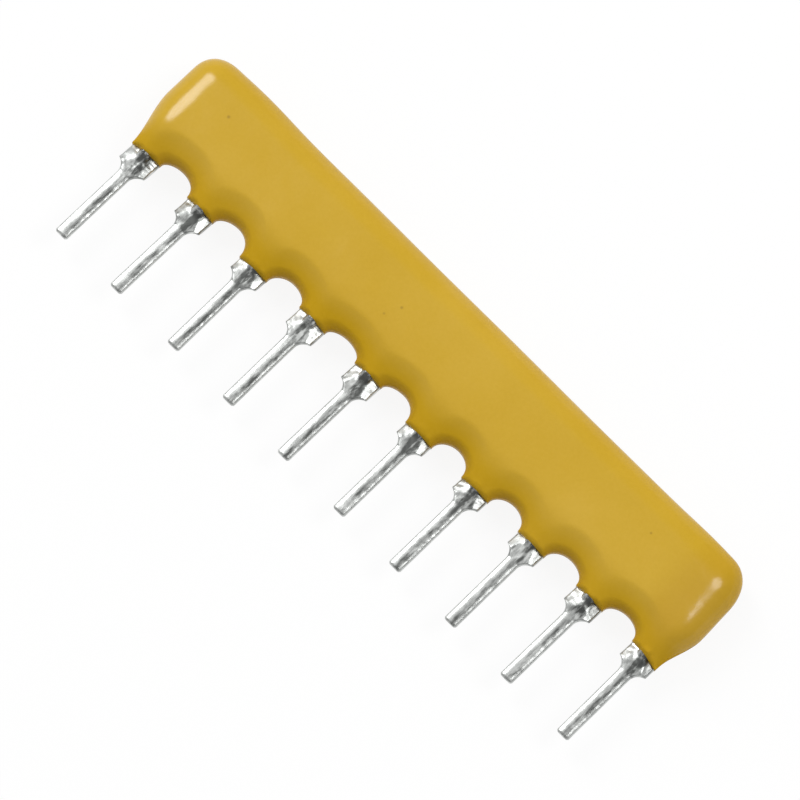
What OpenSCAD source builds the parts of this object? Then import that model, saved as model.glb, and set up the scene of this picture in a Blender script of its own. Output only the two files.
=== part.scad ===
// Single-in-line resistor network with clip leads and a dipped coating.
// The part lies on its back: X runs along the row of leads, Y from the lead tips
// to the top of the body, and Z up through the front face.
// The modules below work from the seating plane (Y = 0) and the middle of the
// ceramic plate (Z = 0). place() then moves them to the part's own frame.

/* [Lead row] */
// Number of leads in the row
lead_count = 10; // [4:1:12]
// Distance from one lead to the next
pitch = 2.54; // [2.4:0.02:3]
// Width of a lead's bar
lead_w = 0.5; // [0.4:0.02:0.6]
// Thickness of the lead strip
lead_t = 0.25; // [0.2:0.01:0.28]
// Length of a lead below the seating plane
lead_length = 3.18; // [2.5:0.02:4.5]
// Chamfer at the corners of a lead's cut end
tip_chamfer = 0.05; // [0.02:0.01:0.1]
// Width of a lead's shoulder
shoulder_w = 1.15; // [1.06:0.01:1.2]
// Radius of the concave flare between bar and shoulder
flare_r = 0.43; // [0.38:0.01:0.5]

/* [Clip] */
// Height above the seating plane where the fingers start to bend
bend_start = 0.2; // [0.15:0.01:0.25]
// Radius of the fingers' bends, at the middle of the strip
bend_r = 0.45; // [0.4:0.01:0.5]
// Height of the finger ends above the seating plane
finger_top = 2.3; // [2:0.05:2.3]
// Width of the front finger
front_finger_w = 0.3; // [0.2:0.02:0.36]
// Slit between the front finger and its neighbours
slit = 0.03; // [0.02:0.01:0.06]
// Width of the solder on the pad
solder_w = 0.9; // [0.8:0.02:0.96]
// Height of the solder on the sides of the front finger
solder_h = 0.16; // [0.14:0.01:0.18]
// Reach of the solder beyond the end of the front finger
solder_reach = 0.15; // [0.1:0.01:0.15]

/* [Ceramic plate and films] */
// Thickness of the ceramic plate
plate_t = 0.64; // [0.5:0.02:0.7]
// Height of the plate's lower edge above the seating plane
plate_low = 1.3; // [1.28:0.01:1.4]
// Height of the plate's upper edge above the seating plane
plate_top = 4.1; // [4.05:0.01:4.15]
// Length of plate beyond the outer leads' centres
plate_margin = 0.6; // [0.58:0.01:0.62]
// Thickness of one printed film
film_t = 0.02; // [0.01:0.005:0.03]
// Width of a terminal pad
pad_w = 1.1; // [1:0.02:1.16]
// Height of the pads' upper edge above the seating plane
pad_top = 2.7; // [2.65:0.01:2.8]
// Height of the common track's lower edge above the seating plane
track_low = 3.65; // [3.6:0.01:3.7]
// Width of the common track
track_w = 0.3; // [0.2:0.02:0.34]
// Width of a resistor film
resistor_w = 1; // [0.8:0.02:1.1]
// Overlap of a resistor on the conductors at its two ends
lap = 0.12; // [0.08:0.01:0.15]
// Width of the trim cut in a resistor
trim_w = 0.06; // [0.04:0.01:0.1]
// Thickness of the overglaze above the resistors
glaze_t = 0.03; // [0.02:0.005:0.05]

/* [Coating] */
// Height of the coating's top edge above the seating plane
body_h = 4.76; // [4.7:0.02:5.1]
// Thickness of the coating over both faces
body_t = 2.1; // [2:0.05:2.5]
// Length of coating beyond the first lead's centre
overhang_first = 1.02; // [0.86:0.02:1.3]
// Length of coating beyond the last lead's centre
overhang_last = 0.86; // [0.86:0.02:1.3]
// Height of the arches between the leads above the seating plane
arch_top = 1.03; // [0.95:0.01:1.05]
// Height of the coating's lower edge on the leads above the seating plane
skirt_low = 0.53; // [0.48:0.01:0.6]
// Film of coating on the sides of a shoulder
skirt_film = 0.05; // [0.04:0.01:0.08]
// Length over which the ends round off
end_round = 1.1; // [0.9:0.05:1.2]
// Length over which the top edge rounds off
top_round = 1; // [0.8:0.05:1.1]
// Width of the sloped band round an arch
band_w = 0.75; // [0.6:0.05:0.9]
// Height above the seating plane where the slope on a lead starts
band_top = 1.55; // [1.4:0.05:1.6]
// Angle of that slope
band_angle = 29; // [25:1:32]
// Length over which the lip of an arch rounds off
lip_round = 0.22; // [0.15:0.01:0.3]

/* [Hidden] */
// Faces of the curves that end as true arcs
$fn = 96;
// Half of the row, from the middle to an outer lead
row_half = (lead_count - 1) * pitch / 2;
// Depth of the flare below the seating plane
flare_drop = sqrt(pow(flare_r, 2) - pow(lead_w / 2 + flare_r - shoulder_w / 2, 2));
// Offset of the front and rear fingers from the strip's own plane
front_rise = plate_t / 2 + film_t + lead_t / 2;
rear_rise = plate_t / 2 + lead_t / 2;
// Width of one rear finger, and where the two rear fingers begin along X
rear_finger_w = (shoulder_w - front_finger_w) / 2 - slit;
rear_fingers = [-shoulder_w / 2, shoulder_w / 2 - rear_finger_w];
// Front face of the plate, of the conductors and of the resistors
plate_face = plate_t / 2;
pad_face = plate_face + film_t;
resistor_face = pad_face + film_t;
// Length of the trim cut
trim_share = 0.4;
trim_length = resistor_w * trim_share;
// Overlap that joins the faces of the coating's hollow into one
seam = 0.04;
// Reach of the overglaze beyond the resistors, and its lower and upper edge
glaze_reach = 0.06;
glaze_low = pad_top - lap - glaze_reach;
glaze_top = track_low + lap + glaze_reach;

// Half thickness of the coating on the flat of the body and on a lip
body_half = body_t / 2;
lip_half_t = 0.06;
// Half width of a skirt and of an arch
skirt_half_w = shoulder_w / 2 + skirt_film;
arch_half_w = pitch / 2 - skirt_half_w;
// Share of an arch's half width over which a skirt's film ends, and the heights where it fades
skirt_share = 0.5;
skirt_fade_start = 0.5;
skirt_fade = 0.7;
// Softness of the turn into the sloped band, and the power that blends its parts
ease = 0.12;
blend_power = 4;
// Upper edge of the sampled band, and its climb to the ends
band_high = arch_top + band_w + ease;
band_climb = 1;
// Height of the tapered stretch at each end
taper_h = 1.65;
// Power of the rounding curves, a little below a circle's 2
round_power = 1.8;
// Rounding length of the ends beside the outer skirts
end_round_low = 0.6;
// Stations along an arch, along an end, and across a skirt
arch_steps = 8;
end_steps = 6;
skirt_steps = 6;
// Steps up the sloped band of a face, up its top rounding, and along one bend of a finger
low_steps = 7;
top_steps = 5;
bend_steps = 6;
// Height on the flat that lies between the two roundings at every station
flat_y = 3.4;
// Ends of the coating
first_end = -row_half - overhang_first;
last_end = row_half + overhang_last;

function two_digits(i) = i < 10 ? str("0", i) : str(i);
function pad_name(i) = str("pad_", two_digits(i));
function resistor_name(i) = str("resistor_", two_digits(i));
function solder_name(i) = str("solder_", two_digits(i));
function lead_name(i) = str("lead_", two_digits(i));

// Place along the row of lead number i, counted from 1
function lead_x(i) = (i - 1) * pitch - row_half;

// A value held between two limits
function held(v, low, high) = max(low, min(high, v));

// A smooth step from 0 to 1 as v goes from 0 to 1
function smooth(v) = let (s = held(v, 0, 1)) s * s * (3 - 2 * s);

// The value whose smooth step is v
function unsmooth(v) = 0.5 - sin(asin(1 - 2 * v) / 3);

// Rounding curve: 1 on the flat, 0 at the edge, where q is 0 on the flat and 1 at the edge
function rounded(q) = pow(max(0, 1 - q), 1 / round_power);

// Distance along X from the nearest lead's centre
function from_lead(x) =
    abs(x - lead_x(held(round((x + row_half) / pitch) + 1, 1, lead_count)));

// How far x lies past the outer skirt, from 0 at the skirt to 1 at the body's end
function past_skirt(x) =
    let (overhang = x < 0 ? overhang_first : overhang_last)
    held((abs(x) - row_half - skirt_half_w) / (overhang - skirt_half_w), 0, 1);

// How far x lies into an arch, from 0 at a skirt to 1 at the middle of the arch
function into_arch(x) =
    abs(x) > row_half ? 0 : held((from_lead(x) - skirt_half_w) / arch_half_w, 0, 1);

// Lower edge of the coating: level on the skirts, elliptical in the arches, tapered at the ends
function low_edge(x) =
    abs(x) > row_half
        ? skirt_low + taper_h * unsmooth(past_skirt(x))
        : skirt_low + (arch_top - skirt_low) * sqrt(1 - pow(1 - into_arch(x), 2)) * sign(into_arch(x));

// How far x and y lie into the rounding of an end, from 0 on the flat to 1 at the outline
function end_q(x, y) =
    let (
        taper = smooth((y - skirt_low) / taper_h),
        overhang = x < 0 ? overhang_first : overhang_last,
        outline = row_half + skirt_half_w + taper * (overhang - skirt_half_w),
        reach = end_round_low + (end_round - end_round_low) * taper
    )
    held(1 - (outline - abs(x)) / reach, 0, 1);

// Upper edge of the coating
function top_edge(x) = body_h - top_round + top_round * rounded(pow(end_q(x, body_h), round_power));

// How far x belongs to a skirt, from 1 on the skirt to 0 in an arch
function on_lead(x) = 1 - smooth(into_arch(x) / skirt_share);

// Angle of the double bend of a finger that steps by rise, and the centre height of its upper bend
function bend_angle(rise) = acos(1 - rise / (2 * bend_r));
function bend_top(rise) = bend_start + 2 * bend_r * sin(bend_angle(rise));

// Height over the plate's middle plane that covers a finger at y
function finger_cover(y) =
    let (past = max(0, bend_top(front_rise) - y))
    front_rise - bend_r + sqrt(pow(bend_r + lead_t / 2 + skirt_film, 2) - pow(past, 2));

// The same in front of a lead, where the film falls from the front finger to both sides of the skirt
function front_cover(x, y) =
    let (aside = (from_lead(x) - front_finger_w / 2) / (skirt_half_w - front_finger_w / 2))
    lead_t / 2 + (finger_cover(y) - lead_t / 2) * (1 - smooth(aside));

// Distance of x and y from the lip of the arch about the centre c
function from_arch(x, y, c) =
    let (rise = arch_top - skirt_low)
    (norm([(x - c) / arch_half_w, (y - skirt_low) / rise]) - 1) * rise;

// What v has above 0, with a soft turn
function eased(v) = v > ease ? v : pow(max(0, v + ease), 2) / (4 * ease);

// Sum of a list
function total(list) = list * [for (v = list) 1];

// Half thickness of the coating at x and y, where cover is what a lead needs there
function half_thickness(x, y, cover) =
    let (
        fade = 1 - smooth((y - skirt_low - skirt_fade_start) / skirt_fade),
        base = lip_half_t + (cover - lip_half_t) * on_lead(x) * (1 - past_skirt(x)) * fade,
        away = [for (i = [1:lead_count - 1]) from_arch(x, y, lead_x(i) + pitch / 2)],
        falls = concat([eased(band_top - y)], [for (v = away) eased(band_w - v)]),
        fall = pow(total([for (v = falls) pow(v, blend_power)]), 1 / blend_power),
        lip_q = held(1 - min(away) / lip_round, 0, 1),
        top_q = held(1 - (body_h - y) / top_round, 0, 1),
        upper = rounded(pow(top_q, round_power) + pow(end_q(x, y), round_power)),
        swell = max(0, body_half - lip_half_t - fall * tan(band_angle)) * upper * sqrt(1 - pow(lip_q, 2))
    )
    max(base, lip_half_t + swell);

// Heights of the points up one face: up the sloped band, then up the top rounding
function face_heights(x) =
    let (
        low = low_edge(x),
        reach = band_high + band_climb * past_skirt(x) - low,
        stretch = (top_edge(x) - flat_y) / (body_h - flat_y)
    )
    concat(
        [for (k = [0:low_steps]) low + reach * (1 - cos(90 * k / low_steps))],
        [for (k = [0:top_steps])
            flat_y + stretch * (body_h - top_round - flat_y + top_round * sin(90 * k / top_steps))]
    );

// Closed outline of the coating across X: up the front face and down the back
function section(x) =
    let (heights = face_heights(x), last = len(heights) - 1)
    concat(
        [for (y = heights) [x, y, half_thickness(x, y, front_cover(x, y))]],
        [for (k = [last:-1:0]) let (y = heights[k]) [x, y, -half_thickness(x, y, finger_cover(y))]]
    );

// Stations along X, from the first end to the last
stations = concat(
    [for (k = [0:end_steps - 1])
        first_end + (overhang_first - skirt_half_w) * (1 - cos(180 * k / end_steps)) / 2],
    [for (i = [1:lead_count]) each concat(
        [for (k = [0:skirt_steps]) lead_x(i) - skirt_half_w * cos(180 * k / skirt_steps)],
        i == lead_count ? [] : [for (k = [1:arch_steps - 1])
            lead_x(i) + pitch / 2 - arch_half_w * cos(180 * k / arch_steps)]
    )],
    [for (k = [1:end_steps])
        last_end - (overhang_last - skirt_half_w) * (1 + cos(180 * k / end_steps)) / 2]
);

// Solid lofted through the coating's sections
module coating_body() {
    face_points = low_steps + top_steps + 2;
    ring = 2 * face_points;
    last = len(stations) - 1;
    points = [for (x = stations) each section(x)];
    sides = [for (s = [0:last - 1], k = [0:ring - 1])
        let (a = s * ring + k, b = s * ring + (k + 1) % ring, c = b + ring, d = a + ring)
        each [[a, b, c], [a, c, d]]];
    // Each end is closed by a strip of triangles from the front face to the back
    caps = [for (k = [0:face_points - 2])
        let (a = k, b = k + 1, c = ring - 2 - k, d = ring - 1 - k, far = last * ring * [1, 1, 1])
        each [[a, c, b], [a, d, c], far + [a, b, c], far + [a, c, d]]];
    polyhedron(points, concat(sides, caps));
}

// Points along an arc about a centre, from angle a to angle b, starting at step number first
function arc(centre, radius, a, b, first = 0) =
    [for (k = [first:bend_steps])
        let (angle = a + (b - a) * k / bend_steps)
        centre + radius * [cos(angle), sin(angle)]];

// Side view of a finger that steps up by rise and then lies along the plate
module finger_profile(rise) {
    angle = bend_angle(rise);
    lower_bend = [bend_start, bend_r];
    upper_bend = [bend_top(rise), rise - bend_r];
    half = lead_t / 2;
    polygon(concat(
        [[0, -half]],
        arc(lower_bend, bend_r + half, -90, angle - 90),
        arc(upper_bend, bend_r - half, 90 + angle, 90, 1),
        [[finger_top, rise - half], [finger_top, rise + half]],
        arc(upper_bend, bend_r + half, 90, 90 + angle),
        arc(lower_bend, bend_r - half, angle - 90, -90, 1),
        [[0, half]]
    ));
}

// A profile drawn in Y and Z, drawn out along X from x over the given width
module along_row(x, width) {
    translate([x, 0, 0])
        rotate([90, 0, 90])
            linear_extrude(width)
                children();
}

// Front view of a lead below the bends: cut end, bar, flare and shoulder
module lead_outline() {
    half = lead_w / 2;
    cut = tip_chamfer;
    polygon([
        [-half, 0], [-half, cut - lead_length], [cut - half, -lead_length],
        [half - cut, -lead_length], [half, cut - lead_length], [half, 0]
    ]);
    difference() {
        translate([-shoulder_w / 2, -flare_drop])
            square([shoulder_w, flare_drop + bend_start]);
        for (side = [-1, 1])
            translate([side * (half + flare_r), -flare_drop])
                circle(flare_r);
    }
}

// Clip lead: one finger in front of the plate and two behind it
module lead(i) {
    color([0.78, 0.79, 0.8])
        translate([lead_x(i), 0, 0]) {
            translate([0, 0, -lead_t / 2])
                linear_extrude(lead_t)
                    lead_outline();
            along_row(-front_finger_w / 2, front_finger_w)
                finger_profile(front_rise);
            for (x = rear_fingers)
                mirror([0, 0, 1])
                    along_row(x, rear_finger_w)
                        finger_profile(rear_rise);
        }
}

// Outer block of the solder round a lead's front finger
module solder_block(i) {
    length = finger_top + solder_reach - plate_low;
    top_half = front_finger_w / 2 + slit;
    translate([lead_x(i), plate_low + length, pad_face])
        rotate([90, 0, 0])
            linear_extrude(length)
                polygon([
                    [-solder_w / 2, 0], [solder_w / 2, 0], [top_half, solder_h], [-top_half, solder_h]
                ]);
}

// Solder on the pad, along both sides of a lead's front finger and round its end
module solder(i) {
    color([0.7, 0.71, 0.72])
        difference() {
            solder_block(i);
            lead(i);
        }
}

// Ceramic plate that carries the films
module substrate() {
    color([0.93, 0.92, 0.88])
        translate([-row_half - plate_margin, plate_low, -plate_face])
            cube([2 * (row_half + plate_margin), plate_top - plate_low, plate_t]);
}

// Printed terminal pad under a lead's front finger
module pad(i) {
    color([0.72, 0.7, 0.64])
        translate([lead_x(i) - pad_w / 2, plate_low, plate_face])
            cube([pad_w, pad_top - plate_low, film_t]);
}

// Printed conductor from the first lead to the far end of every resistor
module common_track() {
    color([0.72, 0.7, 0.64]) {
        pad(1);
        translate([lead_x(1) - track_w / 2, plate_low, plate_face])
            cube([track_w, track_low - plate_low + track_w, film_t]);
        translate([lead_x(1) - track_w / 2, track_low, plate_face])
            cube([2 * row_half + (track_w + resistor_w) / 2, track_w, film_t]);
    }
}

// Printed resistor from a pad to the common track, with a trim cut from one side
module resistor(i) {
    x = lead_x(i + 1) - resistor_w / 2;
    color([0.13, 0.13, 0.14])
        difference() {
            along_row(x, resistor_w)
                polygon([
                    [pad_top, plate_face], [track_low, plate_face], [track_low, pad_face],
                    [track_low + lap, pad_face], [track_low + lap, resistor_face],
                    [pad_top - lap, resistor_face], [pad_top - lap, pad_face], [pad_top, pad_face]
                ]);
            translate([x + resistor_w - trim_length, (pad_top + track_low - trim_w) / 2, 0])
                cube([trim_length + slit, trim_w, plate_t]);
        }
}

// Outer block of the glass over the resistors
module glaze_block() {
    translate([lead_x(1) + track_w, glaze_low, plate_face])
        cube([
            2 * row_half - track_w + pad_w / 2,
            glaze_top - glaze_low,
            resistor_face - plate_face + glaze_t
        ]);
}

// Glass over the resistors, which fills the spaces between them
module overglaze() {
    color([0.3, 0.45, 0.36])
        difference() {
            glaze_block();
            common_track();
            for (i = [2:lead_count]) pad(i);
            for (i = [1:lead_count - 1]) resistor(i);
        }
}

// Inside of a soldered clip, where fingers, solder, pad and plate meet face to face
module clip_joint(i) {
    length = finger_top - plate_low - 2 * seam;
    translate([lead_x(i) - solder_w / 2 + seam, plate_low + seam, plate_face - seam])
        cube([solder_w - 2 * seam, length + solder_reach, seam + film_t * 1.5]);
    for (x = rear_fingers)
        translate([lead_x(i) + x + seam, plate_low + seam, -plate_face - seam])
            cube([rear_finger_w - 2 * seam, length, 2 * seam]);
}

// Everything that the coating encloses, as one solid
module core() {
    substrate();
    common_track();
    glaze_block();
    for (i = [2:lead_count]) pad(i);
    for (i = [1:lead_count]) {
        clip_joint(i);
        solder_block(i);
        lead(i);
    }
}

// Dipped coating, open only where the leads come out
module coating() {
    color([0.8, 0.64, 0.2])
        difference() {
            coating_body();
            core();
        }
}

// Moves the pieces to the part's frame: middle of the box, with the back on Z = 0
module place() {
    translate([(overhang_first - overhang_last) / 2, (lead_length - body_h) / 2, body_half])
        children();
}

place() coating();
place() substrate();
place() common_track();
place() overglaze();
for (i = [2:lead_count]) place() pad(i);
for (i = [1:lead_count - 1]) place() resistor(i);
for (i = [1:lead_count]) place() solder(i);
for (i = [1:lead_count]) place() lead(i);
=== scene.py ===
import math

import bpy
import numpy as np
from mathutils import Matrix, Vector


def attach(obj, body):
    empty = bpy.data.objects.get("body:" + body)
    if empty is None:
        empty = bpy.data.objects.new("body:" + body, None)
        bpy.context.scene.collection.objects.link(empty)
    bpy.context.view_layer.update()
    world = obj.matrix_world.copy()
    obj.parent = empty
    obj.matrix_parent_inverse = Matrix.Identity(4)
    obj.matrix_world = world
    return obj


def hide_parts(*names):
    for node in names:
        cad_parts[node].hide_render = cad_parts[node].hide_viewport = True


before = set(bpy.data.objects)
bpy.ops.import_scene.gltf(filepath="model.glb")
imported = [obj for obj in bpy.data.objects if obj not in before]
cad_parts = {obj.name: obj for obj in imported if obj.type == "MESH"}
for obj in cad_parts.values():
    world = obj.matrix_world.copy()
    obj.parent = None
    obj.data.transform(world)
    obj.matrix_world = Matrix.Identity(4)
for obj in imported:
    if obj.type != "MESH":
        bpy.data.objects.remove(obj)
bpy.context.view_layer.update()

# Sizes in millimetres, measured from the seating plane (Y = 0), the middle of the
# row (X = 0) and the middle of the ceramic plate (Z = 0). PLACE moves them to the frame.
# A value named EASE holds where a change starts and over which length it happens.
PLACE = np.array([0.08, -0.79, 1.05])
LEADS = 10
PITCH = 2.54
ROW_HALF = (LEADS - 1) * PITCH / 2
LEAD_X = [i * PITCH - ROW_HALF for i in range(LEADS)]

# Leads: bar, flared shoulder, cut edges and the front finger that bends forward
LEAD_T = 0.25
LEAD_LENGTH = 3.18
LEAD_TOP = 1.15
BAR_HALF = 0.25
SHOULDER_HALF = 0.575
FLARE_R = 0.43
FLARE_DROP = math.sqrt(FLARE_R ** 2 - (BAR_HALF + FLARE_R - SHOULDER_HALF) ** 2)
TIP_CHAMFER, TIP_THINNING = 0.05, 0.25
CUT_EDGE = 0.06
BEND_START, BEND_R, BEND_REACH = 0.2, 0.45, 0.4
FINGER_EASE = (0.11, 0.12)
SHOULDER_EASE = (-0.45, 0.5)
WING_EASE = (-0.1, 0.3)
# Half width of the flat middle of a lead, and the fall of its sides, by height
FLAT_BY_HEIGHT = ([-0.7, -0.3, -0.06, 0.5, 0.7], [0.14, 0.16, 0.40, 0.17, 0.15])
SLOPE_BY_HEIGHT = ([-0.5, 0.1], [0.5, 0.42])
CROWN_SOFT = 0.05
TIN_UNEVEN, TIN_WAVE, TIN_SEED = 0.002, 0.5, 40
# Rows of points on a lead, from its tip up, and points across it
TIP_ROWS = np.array([0.0, 0.012, 0.03, TIP_CHAMFER]) - LEAD_LENGTH
BAR_ROWS = np.linspace(0.09 - LEAD_LENGTH, -0.46, 60)
SHOULDER_ROWS = np.linspace(-0.44, 0.75, 64)
FINGER_ROWS = np.linspace(0.8, LEAD_TOP, 6)
ACROSS = 57

# Painted dark reflection on a lead's tin: the band along its middle, its edges, the flare and the wings; the
# tip is darker too.
# EDGE_DARK and WING_DARK hold the shares for the left and the right side.
BAND_X, BAND_X_SHOULDER = 0.065, 0.035
BAND_HALF, BAND_HALF_SHOULDER = 0.035, 0.015
BAND_FADE, BAND_FADE_SHOULDER = 0.12, 0.22
BAND_DARK, BAND_DARK_SHOULDER = 1.15, 0.85
BAND_WANDER, BAND_WAVE, BAND_SEED = 0.009, 1.2, 120
EDGE_DARK, EDGE_EASE = (0.2, 0.3), (0.01, 0.04)
TIP_DARK, TIP_EASE = 0.6, (0.02, 0.05)
FLARE_DARK, FLARE_EASE, FLARE_END_EASE = 0.9, (-0.38, 0.12), (0.02, 0.15)
WING_DARK = (0.4, 0.8)

# Coating: face, ends and rounded edges
BODY_H = 4.76
BODY_HALF = 1.05
FIRST_END, LAST_END = -ROW_HALF - 1.02, ROW_HALF + 0.86
POWER, CORNER_EXTRA, CORNER_EASE = 1.8, 0.5, (9.5, 1.5)
TOP_ROUND, TOP_ROUND_LAST, TOP_ROUND_EASE = 1.0, 1.42, (9.0, 2.0)
END_ROUND, END_ROUND_LOW = 1.1, 0.65
TAPER_LOW = 0.53
# Heights over which the outline tapers and the edge gets rounder, at the first and the last end
TAPER_H = (2.1, 1.65)
ROUND_H = (2.1, 3.2)
# Swells of the top edge: middle, reach, rise
TOP_SWELLS = ((-9.9, 1.5, 0.075), (10.4, 1.3, 0.05))
TOP_DROP = 0.03
RIPPLE_RISE, RIPPLE_RATE, RIPPLE_START = 0.006, 0.9, 0.4
FACE_UNEVEN, FACE_WAVE, FACE_SEED, FACE_LIMIT = 0.006, 6.0, 3, 0.01
LAST_BULGE, BULGE_EASE = 0.055, (10.9, 1.3)
BULGE_Y, BULGE_HALF = 2.1, 1.5
LAST_BOW, BOW_FROM, BOW_REACH = 0.14, 9.6, 2.7

# Coating: skirts, arches and lips
SKIRT_HALF = 0.59
LIP_T, LIP_R = 0.06, 0.22
LOWER_SLOPE, FALL_BLEND = 0.63, 4
SKIRT_FALL_Y, SKIRT_SOFT = 1.55, 0.3
ARCH_REACH, ARCH_FALL, ARCH_SOFT = 0.8, 1.18, 0.08
# The film on a lead: gap to the lead, least thickness, softness and height of its thin edge
FILM_GAP, FILM_T, FILM_SOFT, FILM_EDGE = 0.015, 0.05, 0.06, 0.12
FACE_SOFT = 0.03
# Where a skirt ends sideways in front and behind, its cover of the rear fingers, and where it
# merges upwards with the face
FRONT_EASE, BACK_EASE, BACK_COVER = (0.5, 0.09), (0.52, 0.12), 0.36
LOW_EASE = (1.1, 0.5)

# Coating: rings along the row and rows of points in each. Up to ROWS_Y the rows get closer
# towards the lower edge. Where an end has a lower top, the heights above FLAT_Y are squeezed.
END_RINGS, SKIRT_RINGS, ARCH_RINGS = 21, 21, 27
LOWER_ROWS, FACE_ROWS, TOP_ROWS = 31, 8, 21
ROWS_Y, ROWS_CLIMB, ROWS_LEAST = 2.0, 0.6, 0.1
FLAT_Y = 2.7

# Coating: shares of brown, for the thinner film and for painted shade, and gloss
SLOPE_SHADE, LIP_FILM_AND_SHADE, LIP_SHADE_POWER = 0.35, 0.65, 1.5
TOP_FILM_AND_SHADE, LAST_END_SHADE, LAST_END_SHADE_EASE = 0.22, 0.55, (9.7, 1.7)
GLOSS, GLOSS_THIN = 0.55, 0.32
GLOSS_LOSS, GLOSS_LOSS_SIDE = 0.95, 0.9
# Dark grains caught in the coating: x, y, size
GRAINS = ((-10.30, 3.245, 0.06), (-1.91, 2.80, 0.055), (-2.17, 2.26, 0.05), (8.88, 3.29, 0.045))
GRAIN_CORE, GRAIN_RIM, GRAIN_SHARE = 0.3, 1.3, 0.5

# Where the coating stops on each lead, how far that line climbs to the right, and
# the height of the arch to the right of each lead
SKIRT_Y = [0.655, 0.60, 0.45, 0.63, 0.64, 0.42, 0.44, 0.48, 0.57, 0.50]
SKIRT_CLIMB = [0.05, 0.0, 0.02, -0.01, 0.01, 0.0, 0.01, 0.0, 0.0, -0.08]
ARCH_Y = [1.09, 1.07, 1.05, 1.00, 1.01, 0.98, 0.98, 1.03, 1.04]

# Side shift of each lead at its shoulder and at its tip
SHOULDER_SHIFT = [-0.04, -0.034, 0.021, 0.02, 0.026, 0.018, 0.015, -0.01, -0.004, -0.026]
TIP_SHIFT = [-0.034, -0.048, 0.05, 0.039, 0.016, 0.025, 0.014, -0.005, -0.019, -0.01]

# Centre of the skirt on each lead, and centre and half width of each arch
SKIRT_X = [x + shift for x, shift in zip(LEAD_X, SHOULDER_SHIFT)]
ARCH_X = [(a + b) / 2 for a, b in zip(SKIRT_X, SKIRT_X[1:])]
ARCH_HALF = [(b - a) / 2 - SKIRT_HALF for a, b in zip(SKIRT_X, SKIRT_X[1:])]

# Lumps of solder: lead, x, y, height, radius
LUMPS = [
    (0, 0.16, 0.30, 0.05, 0.17), (0, 0.05, 0.02, 0.015, 0.10), (0, -0.25, 0.35, 0.02, 0.2),
    (1, -0.22, 0.05, 0.015, 0.15),
    (8, 0.05, 0.22, 0.06, 0.19), (8, -0.12, 0.05, 0.02, 0.12),
    (9, 0.12, 0.30, 0.07, 0.17), (9, 0.32, 0.05, 0.03, 0.12),
    (4, 0.10, 0.25, 0.02, 0.1), (6, -0.08, 0.2, 0.015, 0.1),
]


# Curves and meshes


def smooth(v):
    v = np.clip(v, 0.0, 1.0)
    return v * v * (3 - 2 * v)


def ease(v, start, length):
    """Smooth change from 0 at start to 1 a length further on."""
    return smooth((v - start) / length)


def unsmooth(v):
    """The inverse of smooth."""
    return 0.5 - math.sin(math.asin(1 - 2 * v) / 3)


def soft_positive(v, width):
    """v where it is positive and 0 elsewhere, with a rounded turn."""
    return 0.5 * (v + np.sqrt(v * v + width * width))


def soft_max(a, b, width):
    """The larger of a and b, with a rounded turn between them."""
    return b + soft_positive(a - b, width)


def rounded(q):
    """Share of the thickness left in a rounded edge, where q sums the powers of the ways into it."""
    return np.maximum(0.0, 1 - q) ** (1 / POWER)


def waves(p, q, seed, count=7, longest=1.0):
    """Smooth unevenness made of a few seeded waves, about -1 to 1."""
    rng = np.random.default_rng(seed)
    total = np.zeros(np.broadcast(p, q).shape)
    for _ in range(count):
        turn = rng.uniform(0, 2 * math.pi)
        length = longest * rng.uniform(0.35, 1.0)
        phase = rng.uniform(0, 2 * math.pi)
        total = total + np.sin((p * math.cos(turn) + q * math.sin(turn)) * 2 * math.pi / length + phase)
    return total / math.sqrt(count)


def linked(name, data):
    made = bpy.data.objects.new(name, data)
    bpy.context.scene.collection.objects.link(made)
    return made


def mesh_object(name, points, faces, material, tones=None):
    """Smooth mesh from points in metres, with a float attribute for each tone."""
    mesh = bpy.data.meshes.new(name)
    mesh.from_pydata([tuple(v) for v in points], [], faces)
    mesh.materials.append(material)
    mesh.polygons.foreach_set("use_smooth", [True] * len(mesh.polygons))
    for tone, values in (tones or {}).items():
        mesh.attributes.new(tone, "FLOAT", "POINT").data.foreach_set("value", values)
    mesh.update()
    return linked(name, mesh)


def in_frame(points):
    """Points moved to the frame, in metres."""
    return (np.asarray(points) + PLACE) / 1000


def loft(rings):
    """Faces that join closed rings of equal length, with fans at both ends.

    The middles of the two fans are the last two points.
    """
    count, ring = len(rings), len(rings[0])
    points = [p for r in rings for p in r]
    faces = []
    for s in range(count - 1):
        for k in range(ring):
            a, b = s * ring + k, s * ring + (k + 1) % ring
            faces.append((a, b, b + ring, a + ring))
    for s, order in ((0, -1), (count - 1, 1)):
        points.append(np.mean(rings[s], axis=0))
        middle = len(points) - 1
        for k in range(ring):
            a, b = s * ring + k, s * ring + (k + 1) % ring
            faces.append((middle, a, b)[::order])
    return points, faces


# Materials


def new_material(name):
    made = bpy.data.materials.new(name)
    made.use_nodes = True
    tree = made.node_tree
    return made, tree, tree.nodes["Principled BSDF"]


def node(tree, kind, inputs=None, **settings):
    made = tree.nodes.new(kind)
    for key, value in settings.items():
        setattr(made, key, value)
    for key, value in (inputs or {}).items():
        if isinstance(value, bpy.types.NodeSocket):
            tree.links.new(value, made.inputs[key])
        else:
            made.inputs[key].default_value = value
    return made


def ramp(tree, factor, stops):
    made = node(tree, "ShaderNodeValToRGB", {"Fac": factor})
    elements = made.color_ramp.elements
    while len(elements) < len(stops):
        elements.new(0.5)
    for element, (place, colour) in zip(elements, stops):
        element.position = place
        element.color = colour if len(colour) == 4 else (*colour, 1)
    return made.outputs["Color"]


def grey(v):
    return (v, v, v, 1)


def painted(tree, name):
    """The mesh attribute of that name, as a factor."""
    return node(tree, "ShaderNodeAttribute", attribute_name=name).outputs["Fac"]


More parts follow.
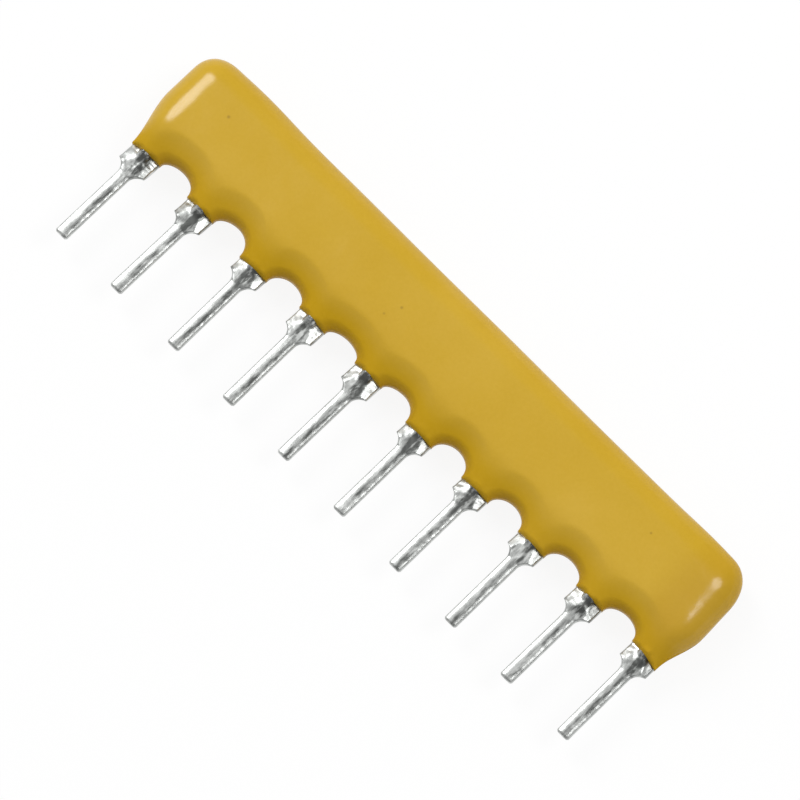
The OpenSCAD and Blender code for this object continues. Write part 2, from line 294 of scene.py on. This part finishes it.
def object_noise(tree, scale, detail=4.0, roughness=0.55, stretch=None):
    where = node(tree, "ShaderNodeTexCoord").outputs["Object"]
    if stretch:
        where = node(tree, "ShaderNodeMapping", {"Vector": where, "Scale": stretch}).outputs["Vector"]
    return node(
        tree, "ShaderNodeTexNoise",
        {"Vector": where, "Scale": scale, "Detail": detail, "Roughness": roughness},
    ).outputs["Fac"]


def mixed(tree, factor, a, b, kind="MIX"):
    made = node(tree, "ShaderNodeMix", data_type="RGBA", blend_type=kind)
    for socket, value in ((made.inputs[0], factor), (made.inputs[6], a), (made.inputs[7], b)):
        if isinstance(value, bpy.types.NodeSocket):
            tree.links.new(value, socket)
        else:
            socket.default_value = value
    return made.outputs[2]


def bump(tree, height, strength, distance, normal=None):
    inputs = {"Height": height, "Strength": strength, "Distance": distance}
    if normal is not None:
        inputs["Normal"] = normal
    return node(tree, "ShaderNodeBump", inputs).outputs["Normal"]


def rough_between(tree, shader, noise, low, high):
    tree.links.new(ramp(tree, noise, [(0.3, grey(low)), (0.7, grey(high))]), shader.inputs["Roughness"])


# Colours and shares of the coating and the tin, mostly as stops of a ramp
OCHRE = [(0.3, (0.552, 0.335, 0.010)), (0.5, (0.569, 0.350, 0.014)), (0.7, (0.587, 0.365, 0.022))]
OCHRE_SPECKLE = [(0.3, (0.45, 0.27, 0.02)), (0.7, (0.78, 0.52, 0.1))]
SPECKLE_SHARE = 0.05
# The first brown is that of the thinner film and also paints shade; the second is that of the grains
FILM_AND_SHADE_BROWN, GRAIN_BROWN = (0.40, 0.20, 0.005, 1), (0.20, 0.10, 0.006, 1)
BROWN_SHARE = [(0.0, grey(0.0)), (0.3, grey(0.2)), (1.0, grey(0.5))]
BRIGHT_TIN = [(0.3, (0.55, 0.565, 0.55)), (0.6, (0.66, 0.675, 0.66))]
# Grey that paints dark reflection on the tin
DARK_REFLECTION_GREY = (0.12, 0.125, 0.12, 1)
STREAK_SHARE = [(0.36, grey(0.0)), (0.62, grey(0.85))]


def grain_share(tree, x, y, size):
    """Dark share of one grain on the front face, fading out round it."""
    where = node(tree, "ShaderNodeTexCoord").outputs["Object"]
    spot = tuple(in_frame([x, y, BODY_HALF]))
    away = node(tree, "ShaderNodeVectorMath", {0: where, 1: spot}, operation="DISTANCE")
    return node(tree, "ShaderNodeMapRange", {
        "Value": away.outputs["Value"],
        "From Min": GRAIN_CORE * size / 1000, "From Max": GRAIN_RIM * size / 1000,
        "To Min": GRAIN_SHARE, "To Max": 0.0,
    }).outputs["Result"]


def coating_material():
    made, tree, shader = new_material("dipped_epoxy")
    fine = object_noise(tree, scale=9000, detail=2)
    colour = ramp(tree, object_noise(tree, scale=260, detail=3), OCHRE)
    colour = mixed(tree, SPECKLE_SHARE, colour, ramp(tree, fine, OCHRE_SPECKLE))
    # The film is browner where it thins out in the round lip, and that brown also paints shade there, on the
    # slope down to the skirts and arches, along the top and towards the last end
    colour = mixed(tree, ramp(tree, painted(tree, "film_and_shade"), BROWN_SHARE), colour, FILM_AND_SHADE_BROWN)
    for x, y, size in GRAINS:
        colour = mixed(tree, grain_share(tree, x, y, size), colour, GRAIN_BROWN)
    tree.links.new(colour, shader.inputs["Base Color"])
    rough_between(tree, shader, object_noise(tree, scale=700, detail=3), low=0.18, high=0.24)
    shader.inputs["IOR"].default_value = 1.5
    tree.links.new(painted(tree, "gloss"), shader.inputs["Specular IOR Level"])
    normal = bump(tree, object_noise(tree, scale=900, detail=2), strength=0.06, distance=0.0004)
    normal = bump(tree, fine, strength=0.05, distance=0.00002, normal=normal)
    tree.links.new(normal, shader.inputs["Normal"])
    return made


def tin_material():
    made, tree, shader = new_material("hot_tin")
    bright = ramp(tree, object_noise(tree, scale=3000, detail=3), BRIGHT_TIN)
    # Painted dark reflection, in streaks along the lead, where the mesh is marked dark
    streaks = object_noise(tree, scale=5600, detail=3, roughness=0.65, stretch=(1.0, 0.25, 1.0))
    share = mixed(tree, 1.0, painted(tree, "dark"), ramp(tree, streaks, STREAK_SHARE), "MULTIPLY")
    tree.links.new(mixed(tree, share, bright, DARK_REFLECTION_GREY), shader.inputs["Base Color"])
    shader.inputs["Metallic"].default_value = 1.0
    rough_between(tree, shader, object_noise(tree, scale=3600, detail=4), low=0.30, high=0.40)
    normal = bump(tree, object_noise(tree, scale=2600, detail=3), strength=0.03, distance=0.00004)
    fine = object_noise(tree, scale=11000, detail=3)
    normal = bump(tree, fine, strength=0.04, distance=0.000012, normal=normal)
    tree.links.new(normal, shader.inputs["Normal"])
    return made


def inner_material(name, low, high, scale, metallic, roughness):
    """Plain fired or soldered material of the pieces inside, with grain."""
    made, tree, shader = new_material(name)
    tone = object_noise(tree, scale, detail=5)
    tree.links.new(ramp(tree, tone, [(0.3, low), (0.7, high)]), shader.inputs["Base Color"])
    finer = object_noise(tree, scale * 1.7, detail=3)
    rough_between(tree, shader, finer, low=roughness * 0.85, high=min(1.0, roughness * 1.15))
    shader.inputs["Metallic"].default_value = metallic
    tree.links.new(bump(tree, tone, strength=0.2, distance=0.00001), shader.inputs["Normal"])
    return made


# Leads


def half_width(y):
    """Half width of a lead: chamfered tip, bar, round flare and shoulder."""
    above = np.clip(y + FLARE_DROP, 0.0, FLARE_R)
    flare = BAR_HALF + FLARE_R - np.sqrt(FLARE_R ** 2 - above ** 2)
    return np.minimum(flare, SHOULDER_HALF) - np.maximum(0.0, TIP_CHAMFER - LEAD_LENGTH - y)


def lead_front(u, y):
    """Front of a lead at u from its middle line: crowned bar, wings that fall back, raised finger."""
    flat, slope = np.interp(y, *FLAT_BY_HEIGHT), np.interp(y, *SLOPE_BY_HEIGHT)
    crown = -slope * soft_positive(np.abs(u) - flat, CROWN_SOFT)
    past = np.clip(y - BEND_START, 0.0, BEND_REACH)
    rise = BEND_R - np.sqrt(BEND_R ** 2 - past ** 2)
    return LEAD_T / 2 + crown + rise * (1 - ease(np.abs(u), *FINGER_EASE))


def edge_round(u, y):
    """1 on the strip, falling to 0 at its cut edges and a little at its tip."""
    q = np.clip(1 - (half_width(y) - np.abs(u)) / CUT_EDGE, 0.0, 1.0)
    at_tip = max(0.0, 1 - (y + LEAD_LENGTH) / TIP_CHAMFER)
    return np.sqrt(np.maximum(0.0, 1 - q * q)) * (1 - TIP_THINNING * at_tip)


def lead_section(i, u, y):
    """Front and back of lead i along u, at height y."""
    lumps = sum(
        rise * np.exp(-((u - x) ** 2 + (y - at) ** 2) / (r * r))
        for lead, x, at, rise, r in LUMPS if lead == i)
    uneven = TIN_UNEVEN * waves(u, y, TIN_SEED + i, count=9, longest=TIN_WAVE)
    uneven = uneven * (1 + float(ease(y, *SHOULDER_EASE)))
    shape, edge = lead_front(u, y), edge_round(u, y)
    middle = ease(y, *WING_EASE) * (shape - LEAD_T / 2)
    return middle + (shape - middle + uneven + lumps) * edge, middle - (shape - middle) * edge


def lead_tone(i, u, y):
    """Share of painted dark reflection along u, at height y, and of the darker tip."""
    on_shoulder = float(ease(y, *SHOULDER_EASE))
    wander = BAND_WANDER * float(waves(y, 0.0, BAND_SEED + i, count=5, longest=BAND_WAVE))
    middle = BAND_X + BAND_X_SHOULDER * on_shoulder + wander
    off = np.abs(u - middle) - BAND_HALF - BAND_HALF_SHOULDER * on_shoulder
    fade = BAND_FADE + BAND_FADE_SHOULDER * on_shoulder
    band = (BAND_DARK + BAND_DARK_SHOULDER * on_shoulder) * (1 - smooth(off / fade))
    rim = np.where(u < 0, *EDGE_DARK) * (1 - ease(half_width(y) - np.abs(u), *EDGE_EASE))
    wing = np.where(u < 0, *WING_DARK) * on_shoulder
    tip = TIP_DARK * float(1 - ease(y + LEAD_LENGTH, *TIP_EASE))
    flare = FLARE_DARK * float(ease(y, *FLARE_EASE) * (1 - ease(y, *FLARE_END_EASE)))
    return np.maximum.reduce([band, rim, wing, np.full_like(u, max(tip, flare))])


def lead_rings(i):
    """Rings of points of lead i from its tip up, and the share of painted dark reflection at each point of
    its loft.
    """
    across = np.sin(np.linspace(-math.pi / 2, math.pi / 2, ACROSS))
    rings, dark = [], []
    for y in np.concatenate([TIP_ROWS, BAR_ROWS, SHOULDER_ROWS, FINGER_ROWS]):
        u = across * half_width(y)
        share = min(1.0, (y + LEAD_LENGTH) / LEAD_LENGTH)
        x = LEAD_X[i] + TIP_SHIFT[i] + (SHOULDER_SHIFT[i] - TIP_SHIFT[i]) * share + u
        front, back = lead_section(i, u, y)
        rings.append(np.concatenate([
            np.stack([x, np.full_like(x, y), front], 1),
            np.stack([x, np.full_like(x, y), back], 1)[-2:0:-1],
        ]))
        tone = lead_tone(i, u, y)
        dark.append(np.concatenate([tone, tone[-2:0:-1]]))
    return rings, list(np.concatenate(dark)) + [1.0, 0.0]


tin = tin_material()
for i in range(LEADS):
    name = "lead_%02d" % (i + 1)
    rings, dark = lead_rings(i)
    points, faces = loft(rings)
    piece = mesh_object(
        name + "_tinned", in_frame(points), [f[::-1] for f in faces], tin, {"dark": dark})
    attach(piece, "root")
    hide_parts(name)

# Coating


def nearest_lead(x):
    return int(np.argmin([abs(x - c) for c in SKIRT_X]))


def skirt_line(i, x):
    """Height where the coating stops on lead i, at x."""
    across = float(np.clip((x - SKIRT_X[i]) / SKIRT_HALF, -1, 1))
    return SKIRT_Y[i] + SKIRT_CLIMB[i] * across


def past_skirt(x):
    """How far x lies past the outer skirts, from 0 at the skirt to 1 at the end."""
    first, last = SKIRT_X[0] - SKIRT_HALF, SKIRT_X[-1] + SKIRT_HALF
    past = (first - x) / (first - FIRST_END) if x < 0 else (x - last) / (LAST_END - last)
    return float(np.clip(past, 0, 1))


def low_edge(x):
    """Height of the lower edge: arches, skirts and the tapered ends."""
    for j in range(LEADS - 1):
        t = (x - ARCH_X[j]) / ARCH_HALF[j]
        if abs(t) < 1:
            foot = skirt_line(j if t < 0 else j + 1, x)
            return foot + (ARCH_Y[j] - foot) * math.sqrt(1 - t * t)
    edge = skirt_line(nearest_lead(x), x)
    return edge + (TAPER_LOW + TAPER_H[int(x > 0)] - edge) * unsmooth(past_skirt(x))


def body_top(x):
    """Height of the top edge along the straight part, with its slight swells at the ends."""
    swells = sum(rise * math.exp(-((x - middle) / reach) ** 2) for middle, reach, rise in TOP_SWELLS)
    return BODY_H - TOP_DROP + swells + RIPPLE_RISE * math.sin(x * RIPPLE_RATE + RIPPLE_START)


def end_q(x, y):
    """How far a point lies into the round of the nearer end, from 0 on the face to 1 at the outline."""
    side = int(x > 0)
    low, end = ((SKIRT_HALF - SKIRT_X[0], -FIRST_END), (SKIRT_X[-1] + SKIRT_HALF, LAST_END))[side]
    outline = low + (end - low) * ease(y, TAPER_LOW, TAPER_H[side])
    reach = END_ROUND_LOW + (END_ROUND - END_ROUND_LOW) * ease(y, TAPER_LOW, ROUND_H[side])
    return np.clip(1 - (outline - abs(x)) / reach, 0, 1)


def from_arch(j, x, y):
    """Distance of a point from the lip of arch j."""
    foot = skirt_line(j if x < ARCH_X[j] else j + 1, x)
    rise = ARCH_Y[j] - foot
    return (np.hypot((x - ARCH_X[j]) / ARCH_HALF[j], np.maximum(0.0, y - foot) / rise) - 1) * rise


def lower_face(x, y):
    """How far the face has come down its even slope to the skirts and arches, and into the round lip."""
    away = [from_arch(j, x, y) for j in range(LEADS - 1)]
    falls = [soft_positive(SKIRT_FALL_Y - y, SKIRT_SOFT)]
    falls += [ARCH_FALL * soft_positive(ARCH_REACH - v, ARCH_SOFT) for v in away]
    fall = sum(v ** FALL_BLEND for v in falls) ** (1 / FALL_BLEND)
    return fall, np.clip(1 - np.min(away, axis=0) / LIP_R, 0, 1)


def coating_rows(x, corner, top_round):
    """Heights of the points of one ring, from its lower edge to its top."""
    low, high = low_edge(x), body_top(x)
    top = high - top_round + top_round * (1 - float(end_q(x, BODY_H)) ** corner) ** (1 / corner)
    stretch = (top - FLAT_Y) / (high - FLAT_Y)
    shoulder = FLAT_Y + stretch * (high - top_round - FLAT_Y)
    close = max(ROWS_Y + ROWS_CLIMB * past_skirt(x), low + ROWS_LEAST)
    return np.concatenate([
        low + (close - low) * (1 - np.cos(np.linspace(0, math.pi / 2, LOWER_ROWS))),
        np.linspace(close, shoulder, FACE_ROWS)[1:-1],
        shoulder + stretch * top_round * np.sin(np.linspace(0, math.pi / 2, TOP_ROWS)),
    ])


def front_and_back(x, y, half, face):
    """In front the film follows the lead and thins out to its edge, behind it covers the rear fingers."""
    u = x - SKIRT_X[nearest_lead(x)]
    low_part = (1 - past_skirt(x)) * (1 - ease(y, *LOW_EASE))
    on_lead = low_part * float(1 - ease(abs(u), *FRONT_EASE))
    on_fingers = low_part * float(1 - ease(abs(u), *BACK_EASE))
    inside = float(np.clip(u, -SHOULDER_HALF, SHOULDER_HALF))
    bare = LIP_T + np.maximum(0.0, lead_front(inside, y) + FILM_GAP - LIP_T) * on_lead
    # Towards the last end the face bows back a little
    bowed = half - LAST_BOW * float(np.clip((x - BOW_FROM) / BOW_REACH, 0, 1)) ** 2 * face
    film = soft_max(soft_positive(bowed - bare, FACE_SOFT), FILM_T * on_lead, FILM_SOFT)
    edge_q = np.clip(1 - (y - low_edge(x)) / FILM_EDGE, 0, 1) * on_lead
    uneven = FACE_UNEVEN * face * waves(x, y, FACE_SEED, longest=FACE_WAVE)
    front = bare + film * np.sqrt(1 - edge_q ** 2) + uneven
    back = soft_max(half, LIP_T + BACK_COVER * on_fingers, FACE_SOFT)
    return np.minimum(front, BODY_HALF + FACE_LIMIT), -np.minimum(back, BODY_HALF)


def coating_ring(x):
    """Points, brown share and gloss of the coating's section at x."""
    corner = POWER + CORNER_EXTRA * float(ease(abs(x), *CORNER_EASE))
    top_round = TOP_ROUND + (TOP_ROUND_LAST - TOP_ROUND) * float(ease(x, *TOP_ROUND_EASE))
    y = coating_rows(x, corner, top_round)
    top_q, side_q = np.clip(1 - (body_top(x) - y) / top_round, 0, 1), end_q(x, y)
    fall, lip_q = lower_face(x, y)
    face = rounded(top_q ** corner + side_q ** corner) * np.sqrt(1 - lip_q ** 2)
    half = LIP_T + np.maximum(0.0, BODY_HALF - LIP_T - LOWER_SLOPE * fall) * face
    front, back = front_and_back(x, y, half, face)
    # The last end bulges a little below its middle
    bulge = np.cos(np.clip((y - BULGE_Y) / BULGE_HALF, -1, 1) * math.pi / 2) ** 2
    out = x + LAST_BULGE * ease(x, *BULGE_EASE) * bulge
    ring = np.concatenate([np.stack([out, y, front], 1), np.stack([out, y, back], 1)[::-1]])

    # Painted shade on the even slope down to the skirts and arches; in the round lip the film thins and shade
    # is painted as well
    film_and_shade = SLOPE_SHADE * np.clip(fall / ARCH_REACH, 0, 1) + LIP_FILM_AND_SHADE * lip_q ** LIP_SHADE_POWER
    gloss = GLOSS * (1 - GLOSS_LOSS * smooth(film_and_shade / GLOSS_THIN))
    gloss = gloss * (1 - GLOSS_LOSS * top_q) * (1 - GLOSS_LOSS_SIDE * side_q ** 2)
    # Painted shade: the colour is browner along the top, where the film also thins over the edge, and towards
    # the last end
    film_and_shade = np.maximum.reduce([film_and_shade, TOP_FILM_AND_SHADE * top_q, np.full_like(y, LAST_END_SHADE * ease(x, *LAST_END_SHADE_EASE))])
    return ring, np.concatenate([film_and_shade, film_and_shade[::-1]]), np.concatenate([gloss, gloss[::-1]])


def coating_stations():
    """Places of the rings along the row, closest together at the ends and at the sides of arches."""
    ends = (1 - np.cos(np.linspace(0, math.pi, END_RINGS)[:-1])) / 2
    out = list(FIRST_END + (SKIRT_X[0] - SKIRT_HALF - FIRST_END) * ends)
    for i in range(LEADS):
        out += list(SKIRT_X[i] + np.linspace(-SKIRT_HALF, SKIRT_HALF, SKIRT_RINGS))
        if i < LEADS - 1:
            out += list(ARCH_X[i] - ARCH_HALF[i] * np.cos(np.linspace(0, math.pi, ARCH_RINGS)[1:-1]))
    out += list(LAST_END + (SKIRT_X[-1] + SKIRT_HALF - LAST_END) * ends)[::-1]
    return out


rings, film_and_shade, gloss = zip(*[coating_ring(x) for x in coating_stations()])
points, faces = loft(rings)
skin = mesh_object("coating_skin", in_frame(points), faces, coating_material(), {
    "film_and_shade": list(np.concatenate(film_and_shade)) + [0.0, 0.0],
    "gloss": list(np.concatenate(gloss)) + [0.5, 0.5],
})
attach(skin, "root")
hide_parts("coating")

# Pieces inside the coating keep their CAD shape. Each material has a darker and a lighter
# colour, the scale of its grain, its metallic share and its roughness.
INNER = {
    "substrate": inner_material("alumina", (0.80, 0.79, 0.74), (0.90, 0.89, 0.85), 3000, 0.0, 0.7),
    "conductor": inner_material("silver_film", (0.50, 0.48, 0.43), (0.66, 0.64, 0.58), 6000, 1.0, 0.5),
    "resistor": inner_material("resistor_glass", (0.012, 0.012, 0.014), (0.03, 0.03, 0.032), 6000, 0.0, 0.35),
    "overglaze": inner_material("green_glass", (0.06, 0.16, 0.09), (0.12, 0.25, 0.16), 2500, 0.0, 0.15),
    "solder": inner_material("solder_fillet", (0.45, 0.46, 0.47), (0.62, 0.63, 0.64), 5000, 1.0, 0.3),
}
for name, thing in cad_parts.items():
    kind = "conductor" if name.startswith(("pad", "common")) else name.split("_")[0]
    if kind in INNER:
        thing.data.materials.clear()
        thing.data.materials.append(INNER[kind])

# Floor, in metres: radius and height of its rim, which sweeps up so that low views end in it
RIM = ((0.6, 0.0), (0.68, 0.0022), (0.76, 0.009), (0.84, 0.02), (0.92, 0.036), (1.0, 0.056))
RIM_TURNS = 96
FLOOR_GLOW = 0.9


def floor_material():
    """Pale floor that keeps shadows, and is nearly white where the camera or a reflection sees it."""
    made, tree, shader = new_material("floor_white")
    shader.inputs["Base Color"].default_value = (0.93, 0.93, 0.93, 1)
    shader.inputs["Roughness"].default_value = 0.9
    shader.inputs["Specular IOR Level"].default_value = 0.0
    path = node(tree, "ShaderNodeLightPath").outputs
    seen = path["Is Camera Ray"]
    for other in ("Is Glossy Ray", "Is Transmission Ray"):
        seen = node(tree, "ShaderNodeMath", {0: seen, 1: path[other]}, operation="MAXIMUM").outputs[0]
    share = node(tree, "ShaderNodeMath", {0: seen, 1: FLOOR_GLOW}, operation="MULTIPLY").outputs[0]
    glow = node(tree, "ShaderNodeEmission", {"Color": (1, 1, 1, 1), "Strength": 1.0})
    both = node(tree, "ShaderNodeMixShader", {
        0: share, 1: shader.outputs["BSDF"], 2: glow.outputs["Emission"]})
    tree.links.new(both.outputs["Shader"], tree.nodes["Material Output"].inputs["Surface"])
    return made


turns = [2 * math.pi * i / RIM_TURNS for i in range(RIM_TURNS)]
rim_points = [(r * math.cos(turn), r * math.sin(turn), z) for r, z in RIM for turn in turns]
rim_faces = [tuple(range(RIM_TURNS))]
for k in range(len(RIM) - 1):
    for i in range(RIM_TURNS):
        a, b = RIM_TURNS * k + i, RIM_TURNS * k + (i + 1) % RIM_TURNS
        rim_faces.append((a, a + RIM_TURNS, b + RIM_TURNS, b))
floor = mesh_object("floor", rim_points, rim_faces, floor_material())

# Light: a dim even room, and soft boxes beyond both ends of the part


def light_room():
    world = bpy.data.worlds.new("room")
    bpy.context.scene.world = world
    world.use_nodes = True
    tree = world.node_tree
    room = tree.nodes["Background"]
    direction = node(tree, "ShaderNodeTexCoord").outputs["Generated"]
    toward = node(tree, "ShaderNodeSeparateXYZ", {"Vector": direction}).outputs
    sky = ramp(tree, toward["Z"], [
        (0.0, grey(0.50)), (0.4, grey(0.56)), (0.7, grey(0.46)), (1.0, grey(0.53)),
    ])
    tree.links.new(sky, room.inputs["Color"])
    # The room is darker beyond the last end
    side = node(tree, "ShaderNodeMapRange", {
        "Value": toward["X"], "From Min": -0.35, "From Max": 0.35, "To Min": 1.16, "To Max": 0.72})
    tree.links.new(side.outputs["Result"], room.inputs["Strength"])


def soft_box(name, toward, distance, width, depth, power):
    """Oval lamp that faces the part from the given direction, with its depth along Y."""
    lamp = bpy.data.lights.new(name, "AREA")
    lamp.shape = "ELLIPSE"
    lamp.size, lamp.size_y = width, depth
    lamp.energy = power
    back = Vector(toward).normalized()
    along = (Vector((0, 1, 0)) - back * back.y).normalized()
    turned = Matrix((along.cross(back), along, back)).transposed().to_4x4()
    linked(name, lamp).matrix_world = Matrix.Translation(back * distance) @ turned


light_room()
soft_box("box_first_end", (-0.65, 0.13, 0.75), distance=0.30, width=0.20, depth=0.11, power=0.40)
soft_box("box_last_end", (0.41, 0.42, 0.81), distance=0.30, width=0.15, depth=0.11, power=0.31)

# Camera: looks down on the front face, with the leads to the lower left of the picture
TILT_X, TILT_Y, ROLL = (math.radians(v) for v in (8.6, -10.0, -1.31))
PICTURE_TURN = math.radians(45)
DISTANCE = 220.0
PIXELS_PER_MM = 31.22
PICTURE_PIXELS = 800
SENSOR = 36.0
OFFSET = (0.0737, 0.8008)


def turned_about(axis, angle):
    return np.array(Matrix.Rotation(angle, 3, axis))


def aim_camera():
    tilted = turned_about("Z", ROLL) @ turned_about("X", TILT_Y) @ turned_about("Y", -TILT_X)
    axes = turned_about("Z", -PICTURE_TURN) @ tilted
    eye = in_frame(tilted.T @ np.array([*OFFSET, DISTANCE]))
    data = bpy.data.cameras.new("camera")
    data.sensor_width = SENSOR
    data.lens = PIXELS_PER_MM * DISTANCE * SENSOR / PICTURE_PIXELS
    data.clip_start, data.clip_end = 0.005, 10.0
    camera = linked("camera", data)
    camera.matrix_world = Matrix.Translation(Vector(eye)) @ Matrix(axes.T.tolist()).to_4x4()
    return camera


bpy.context.scene.camera = aim_camera()
bpy.context.scene.view_settings.view_transform = "Standard"
